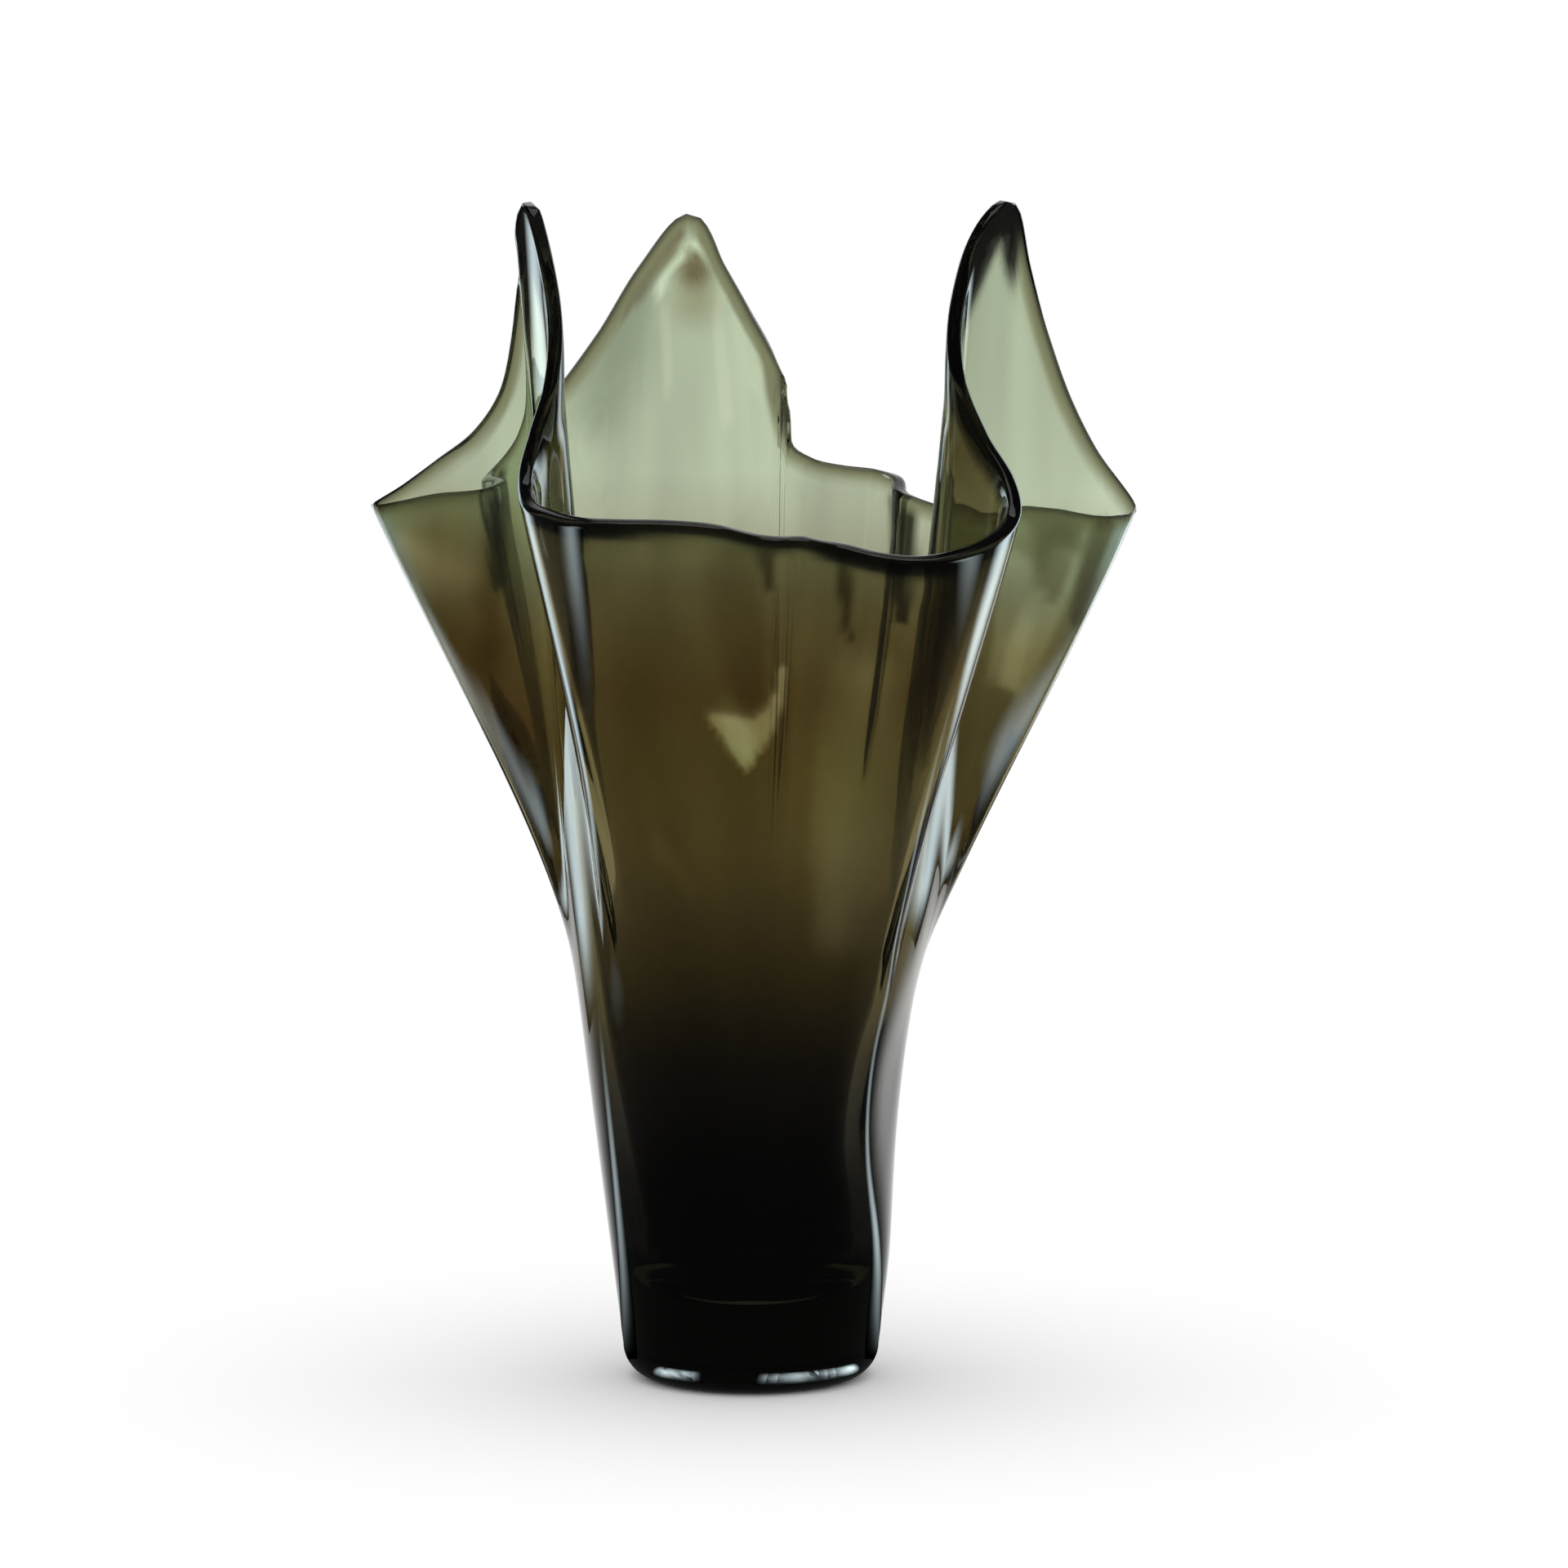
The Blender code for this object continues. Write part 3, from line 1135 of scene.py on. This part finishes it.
    def edge_shade_reach(self, turn: float) -> float:
        """Says how far the painted black shade of the edge-on rim reaches down the wall, more at the peaks
        and less on the lip.

        Args:
            turn: the share of the way round.

        Returns:
            The distance from the rim line.
        """
        right_peak = self.right_peak_turn - self.peak_fade
        left_peak = self.left_peak_turn + self.peak_fade
        reach = self.front_edge_shade + self.peak_edge_shade * swell(turn, right_peak, self.peak_spread)
        reach += self.peak_edge_shade * swell(turn, left_peak, self.peak_spread)
        lip = (turn + HALF_WAY_ROUND) % 1.0
        reach -= self.lip_thinning * swell(lip, self.lip_middle, self.lip_spread)
        reach -= self.flute_thinning * swell(lip, self.flute_middle, self.flute_spread)
        return reach

    def mark(self, mesh: bpy.types.Mesh, places: list[Vector]) -> None:
        """Writes the marks of painted light and shade, the painted black shade along the edge-on rim and the
        band along the edge on the mesh's points, for the material.

        Args:
            mesh: the folded mesh.
            places: where its points were in the blank.
        """
        line = KDTree(len(self.curve.drawn))
        for index, place in enumerate(self.curve.drawn):
            line.insert(place, index)
        line.balance()
        peaks = [(self.curve.at_turn(share), reaches) for share, reaches in self.tips]
        edge, band, turns, skins = [], [], [], []
        for place in places:
            turn = (math.atan2(place.y, place.x) / math.tau) % 1.0
            skin = self.skin(turn, min(place.z, self.rim.low))
            gap = line.find(skin)[2]
            front = self.front_share(turn)
            reach = self.edge_shade_reach(turn)
            # Painted black shade: along the rim of the front lip and its creases, and at the side peaks'
            # tips
            top = smooth_share(place.z, self.rim.low, self.blank.edge_top())
            near = 1 - smooth_share(gap, reach * self.edge_core, reach)
            tip = max(1 - smooth_share((skin - peak).length, core, end) for peak, (core, end) in peaks)
            edge.append(max(top + (near - top) * front, tip))
            band.append(1 - smooth_share(gap, self.band_inner, self.band_outer))
            turns.append(turn)
            skins.append(skin)
        for name, values in (("rim_edge_shade", edge), ("rim_band", band)):
            mesh.attributes.new(name, "FLOAT", "POINT").data.foreach_set("value", values)
        # The marks' painted shade and painted highlights, as factors on the tint
        tints = self.marks.laid(np.array(turns), np.array(skins))
        layer = mesh.attributes.new("marks", "FLOAT_COLOR", "POINT")
        layer.data.foreach_set("color", np.hstack([tints, np.ones((len(places), 1))]).ravel())

    def build(self) -> bpy.types.Object:
        """Makes the vase as one closed mesh.

        Returns:
            The finished piece, dressed, in the place of the solid.
        """
        form = bmesh.new()
        ring = [form.verts.new((x, 0, z)) for x, z in self.blank.profile()]
        for start, end in zip(ring, ring[1:]):
            form.edges.new((start, end))
        bmesh.ops.spin(
            form,
            geom=form.verts[:] + form.edges[:],
            axis=(0, 0, 1),
            angle=math.tau,
            steps=self.columns,
            use_merge=True,
        )
        bmesh.ops.remove_doubles(form, verts=form.verts, dist=self.merge_distance)
        places = [vert.co.copy() for vert in form.verts]
        for vert in form.verts:
            vert.co = self.folded(vert.co)
        bmesh.ops.recalc_face_normals(form, faces=form.faces)
        for face in form.faces:
            face.smooth = True
        mesh = bpy.data.meshes.new("folded_vase")
        form.to_mesh(mesh)
        form.free()
        self.mark(mesh, places)
        piece = bpy.data.objects.new("folded_vase", mesh)
        bpy.context.scene.collection.objects.link(piece)
        mesh.materials.append(self.glass.material())
        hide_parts("vase")
        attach(piece, "root")
        return piece


@dataclass(frozen=True)
class PhotoCamera:
    """The photograph's camera: a long lens, a little above the rim's height."""

    target: Place = (0.0084, 0.0, 0.1516)
    elevation: float = 7.8
    distance: float = 2.6
    pixels_per_metre: float = 4850.0

    def build(self) -> bpy.types.Object:
        """Makes the camera and gives it to the scene.

        Returns:
            The camera.
        """
        angle = math.radians(self.elevation)
        data = bpy.data.cameras.new("photo_camera")
        data.sensor_width = SENSOR_WIDTH
        data.lens = self.pixels_per_metre * self.distance * SENSOR_WIDTH / PHOTO_SIDE
        camera = bpy.data.objects.new("photo_camera", data)
        back = Vector((0, -math.cos(angle), math.sin(angle)))
        camera.location = Vector(self.target) + back * self.distance
        camera.rotation_euler = (RIGHT_ANGLE - angle, 0, 0)
        bpy.context.scene.collection.objects.link(camera)
        bpy.context.scene.camera = camera
        return camera


class Side(Enum):
    """Which side of the vase a soft panel lies on."""

    LEFT = -1
    RIGHT = 1


def around(angle: float, distance: float, height: float) -> Place:
    """Gives a place by its angle in radians from the front, its distance from the axis and its height."""
    return (math.sin(angle) * distance, -math.cos(angle) * distance, height)


@dataclass(frozen=True)
class Studio:
    """A white studio that mirrors dark at the front: pale floor, soft panels and a lamp above."""

    floor_side: float = 12.0
    floor_colour: Colour = (0.96, 0.96, 0.96, 1.0)
    floor_roughness: float = 0.9
    lit_reach: float = 0.05
    white_reach: float = 0.30
    ambient: float = 1.0
    dark_front: float = 0.04
    dark_edge: float = 0.55
    bright_edge: float = 0.95
    glow_colour: Colour = (0.80, 0.96, 1.0, 1.0)
    strip_distance: float = 0.38
    strip_azimuth: float = 128.0
    strip_sides: Pair = (0.20, 0.50)
    strip_ends: float = 0.04
    strip_base: float = 0.002
    strip_radiance: float = 4.0
    low_azimuth: float = 121.0
    low_start: float = 0.03
    low_width: float = 0.05
    low_radiance: dict[Side, float] = field(default_factory=lambda: {Side.LEFT: 2.5, Side.RIGHT: 3.8})
    haze_place: Pair = (0.375, -0.06)
    haze_sides: Pair = (0.14, 0.34)
    haze_radiance: float = 4.2
    glint_azimuths: tuple[float, ...] = (14, 20, 26, 32, 38, 44, 50, 56, 62, -38, -44, -50)
    glint_reach: float = 0.0352
    panel_lift: float = 0.0005
    glint_sides: Pair = (0.014, 0.010)
    glint_radiance: float = 14.0
    top_side: float = 1.2
    top_power: float = 4.5
    top_height: float = 1.8

    def floor(self) -> bpy.types.Object:
        """Lays the pale floor, which keeps the vase's shadow.

        Returns:
            The floor.
        """
        form = bmesh.new()
        bmesh.ops.create_grid(form, x_segments=1, y_segments=1, size=self.floor_side / 2)
        mesh = bpy.data.meshes.new("floor")
        form.to_mesh(mesh)
        form.free()
        floor = bpy.data.objects.new("floor", mesh)
        bpy.context.scene.collection.objects.link(floor)
        mesh.materials.append(self.floor_material())
        return floor

    def seen(self, tree: Tree, outputs: tuple[str, ...]) -> Socket:
        """Says whether a ray is of one of these kinds.

        Args:
            tree: the nodes that it is added to.
            outputs: the names of the Light Path outputs.

        Returns:
            A socket that is 1 for such a ray and 0 otherwise.
        """
        path = tree.nodes.new("ShaderNodeLightPath")
        socket = path.outputs[outputs[0]]
        for name in outputs[1:]:
            socket = maths(tree, "MAXIMUM", socket, path.outputs[name])
        return socket

    def mirrored(self, tree: Tree, direction: Socket) -> Socket:
        """Says how bright a reflection is: dark on the camera's side, white behind the vase.

        Args:
            tree: the nodes that it is added to.
            direction: the direction, of length 1.

        Returns:
            The socket that holds the brightness.
        """
        parts = tree.nodes.new("ShaderNodeSeparateXYZ")
        tree.links.new(direction, parts.inputs["Vector"])
        ends = (self.dark_edge, self.bright_edge)
        return ranged(tree, parts.outputs["Y"], ends, (self.dark_front, 1.0))

    def floor_material(self) -> bpy.types.Material:
        """Makes the floor matt and pale, plain white further off and dark in reflections at the front.

        Returns:
            The material.
        """
        material = bpy.data.materials.new("pale_floor")
        material.use_nodes = True
        tree = material.node_tree
        shader = tree.nodes["Principled BSDF"]
        shader.inputs["Base Color"].default_value = self.floor_colour
        shader.inputs["Roughness"].default_value = self.floor_roughness
        shader.inputs["Specular IOR Level"].default_value = 0.0
        coordinates = tree.nodes.new("ShaderNodeTexCoord")
        distance = tree.nodes.new("ShaderNodeVectorMath")
        distance.operation = "LENGTH"
        tree.links.new(coordinates.outputs["Object"], distance.inputs[0])
        fade = ranged(tree, distance.outputs["Value"], (self.lit_reach, self.white_reach))
        far = maths(tree, "MULTIPLY", fade, self.seen(tree, ("Is Camera Ray", "Is Transmission Ray")))
        white = tree.nodes.new("ShaderNodeEmission")
        lit = either_shader(tree, far, shader.outputs["BSDF"], white.outputs["Emission"])
        towards = tree.nodes.new("ShaderNodeVectorMath")
        towards.operation = "NORMALIZE"
        tree.links.new(coordinates.outputs["Object"], towards.inputs[0])
        reflection = tree.nodes.new("ShaderNodeEmission")
        tree.links.new(self.mirrored(tree, towards.outputs["Vector"]), reflection.inputs["Strength"])
        glossy = self.seen(tree, ("Is Glossy Ray",))
        refracted = self.seen(tree, ("Is Transmission Ray",))
        reflected = maths(tree, "SUBTRACT", glossy, refracted, clamped=True)
        surface = either_shader(tree, reflected, lit, reflection.outputs["Emission"])
        tree.links.new(surface, tree.nodes["Material Output"].inputs["Surface"])
        return material

    def world(self) -> None:
        """White surroundings, seen as white, with a dark side behind the camera for reflections."""
        world = bpy.data.worlds.new("white_studio")
        bpy.context.scene.world = world
        world.use_nodes = True
        tree = world.node_tree
        background = tree.nodes["Background"]
        background.inputs["Color"].default_value = (1, 1, 1, 1)
        coordinates = tree.nodes.new("ShaderNodeTexCoord")
        mirrored = tree.nodes.new("ShaderNodeMix")
        mirrored.inputs["A"].default_value = self.ambient
        tree.links.new(self.seen(tree, ("Is Glossy Ray",)), mirrored.inputs["Factor"])
        tree.links.new(self.mirrored(tree, coordinates.outputs["Generated"]), mirrored.inputs["B"])
        level = tree.nodes.new("ShaderNodeMix")
        level.inputs["B"].default_value = 1.0
        tree.links.new(self.seen(tree, ("Is Camera Ray", "Is Transmission Ray")), level.inputs["Factor"])
        tree.links.new(mirrored.outputs["Result"], level.inputs["A"])
        tree.links.new(level.outputs["Result"], background.inputs["Strength"])

    def glow_material(self, name: str, sides: Pair, ends: float, radiance: float) -> bpy.types.Material:
        """Makes a panel's light, which fades evenly towards its four sides.

        Args:
            name: its name.
            sides: the panel's width and length.
            ends: how far the light fades in from its ends.
            radiance: how bright the panel's middle looks.

        Returns:
            The material.
        """
        material = bpy.data.materials.new(name)
        material.use_nodes = True
        tree = material.node_tree
        tree.nodes.clear()
        coordinates = tree.nodes.new("ShaderNodeTexCoord")
        place = tree.nodes.new("ShaderNodeSeparateXYZ")
        tree.links.new(coordinates.outputs["Object"], place.inputs["Vector"])
        level: Socket | float = radiance
        for axis, side, fade in zip("XY", sides, (sides[0] / 2, ends)):
            away = maths(tree, "ABSOLUTE", place.outputs[axis])
            share = ranged(tree, away, (side / 2, side / 2 - fade))
            level = maths(tree, "MULTIPLY", share, level)
        light = tree.nodes.new("ShaderNodeEmission")
        light.inputs["Color"].default_value = self.glow_colour
        tree.links.new(level, light.inputs["Strength"])
        output = tree.nodes.new("ShaderNodeOutputMaterial")
        tree.links.new(light.outputs["Emission"], output.inputs["Surface"])
        return material

    def glow(self, name: str, sides: Pair, ends: float, radiance: float) -> bpy.types.Object:
        """Makes a soft panel of light that shows only in reflections.

        Args:
            name: its name.
            sides: its width and length.
            ends: how far the light fades in from its ends.
            radiance: how bright its middle looks.

        Returns:
            The panel, still at the origin and lying flat.
        """
        form = bmesh.new()
        bmesh.ops.create_grid(form, x_segments=1, y_segments=1, size=0.5)
        bmesh.ops.scale(form, vec=(*sides, 1.0), verts=form.verts)
        mesh = bpy.data.meshes.new(name)
        form.to_mesh(mesh)
        form.free()
        mesh.materials.append(self.glow_material(name, sides, ends, radiance))
        panel = bpy.data.objects.new(name, mesh)
        panel.visible_camera = False
        panel.visible_diffuse = False
        panel.visible_transmission = False
        panel.visible_shadow = False
        bpy.context.scene.collection.objects.link(panel)
        log.info("%s: soft panel", name)
        return panel

    def strip(self, side: Side) -> None:
        """Stands a tall soft panel behind the vase to one side.

        Args:
            side: the side.
        """
        angle = side.value * math.radians(self.strip_azimuth)
        height = self.strip_base + self.strip_sides[1] / 2
        name = f"strip_{side.name.lower()}"
        panel = self.glow(name, self.strip_sides, self.strip_ends, self.strip_radiance)
        panel.location = around(angle, self.strip_distance, height)
        panel.rotation_euler = (RIGHT_ANGLE, 0, angle)

    def low_strip(self, side: Side) -> None:
        """Lays a narrow soft panel along the floor, from the foot towards the tall one.

        Args:
            side: the side of the vase that it lies on.
        """
        angle = side.value * math.radians(self.low_azimuth)
        length = self.strip_distance - self.low_start
        name = f"low_{side.name.lower()}"
        panel = self.glow(name, (self.low_width, length), length / 2, self.low_radiance[side])
        panel.location = around(angle, self.low_start + length / 2, self.strip_base)
        panel.rotation_euler = (0, 0, angle)

    def haze(self, side: Side) -> None:
        """Lays a wide dim panel beside the vase, which shines in the folds of the wing above it.

        Args:
            side: the side of the vase that it lies on.
        """
        name = f"haze_{side.name.lower()}"
        panel = self.glow(name, self.haze_sides, self.haze_sides[1] / 2, self.haze_radiance)
        across, back = self.haze_place
        panel.location = (side.value * across, back, self.panel_lift)

    def foot_glints(self) -> None:
        """Lays small panels around the foot, which shine in its rounded edge."""
        for index, azimuth in enumerate(self.glint_azimuths):
            sides = self.glint_sides
            panel = self.glow(f"glint_{index}", sides, sides[1] / 2, self.glint_radiance)
            angle = math.radians(azimuth)
            panel.location = around(angle, self.glint_reach, self.panel_lift)
            panel.rotation_euler = (0, 0, angle)

    def top(self) -> bpy.types.Object:
        """Hangs a wide soft lamp over the vase.

        Returns:
            The lamp.
        """
        data = bpy.data.lights.new("top_lamp", "AREA")
        data.size = self.top_side
        data.energy = self.top_power
        lamp = bpy.data.objects.new(data.name, data)
        lamp.location = (0, 0, self.top_height)
        bpy.context.scene.collection.objects.link(lamp)
        return lamp

    def build(self) -> None:
        """Sets up the floor, the surroundings, the soft panels and the lamp."""
        floor = self.floor()
        log.info("%s: %.0f m wide", floor.name, self.floor_side)
        self.world()
        for side in Side:
            self.strip(side)
            self.low_strip(side)
            self.haze(side)
        self.foot_glints()
        self.top()


def main() -> None:
    """Builds the vase, the studio and the camera."""
    logging.basicConfig(level=logging.INFO, format="%(message)s")
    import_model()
    scene = bpy.context.scene
    scene.view_settings.view_transform = "Standard"
    scene.cycles.max_bounces = LIGHT_BOUNCES
    scene.cycles.transmission_bounces = LIGHT_BOUNCES
    vase = FoldedVase().build()
    log.info("%s: %d faces", vase.name, len(vase.data.polygons))
    Studio().build()
    PhotoCamera().build()


if __name__ == "__main__":
    main()
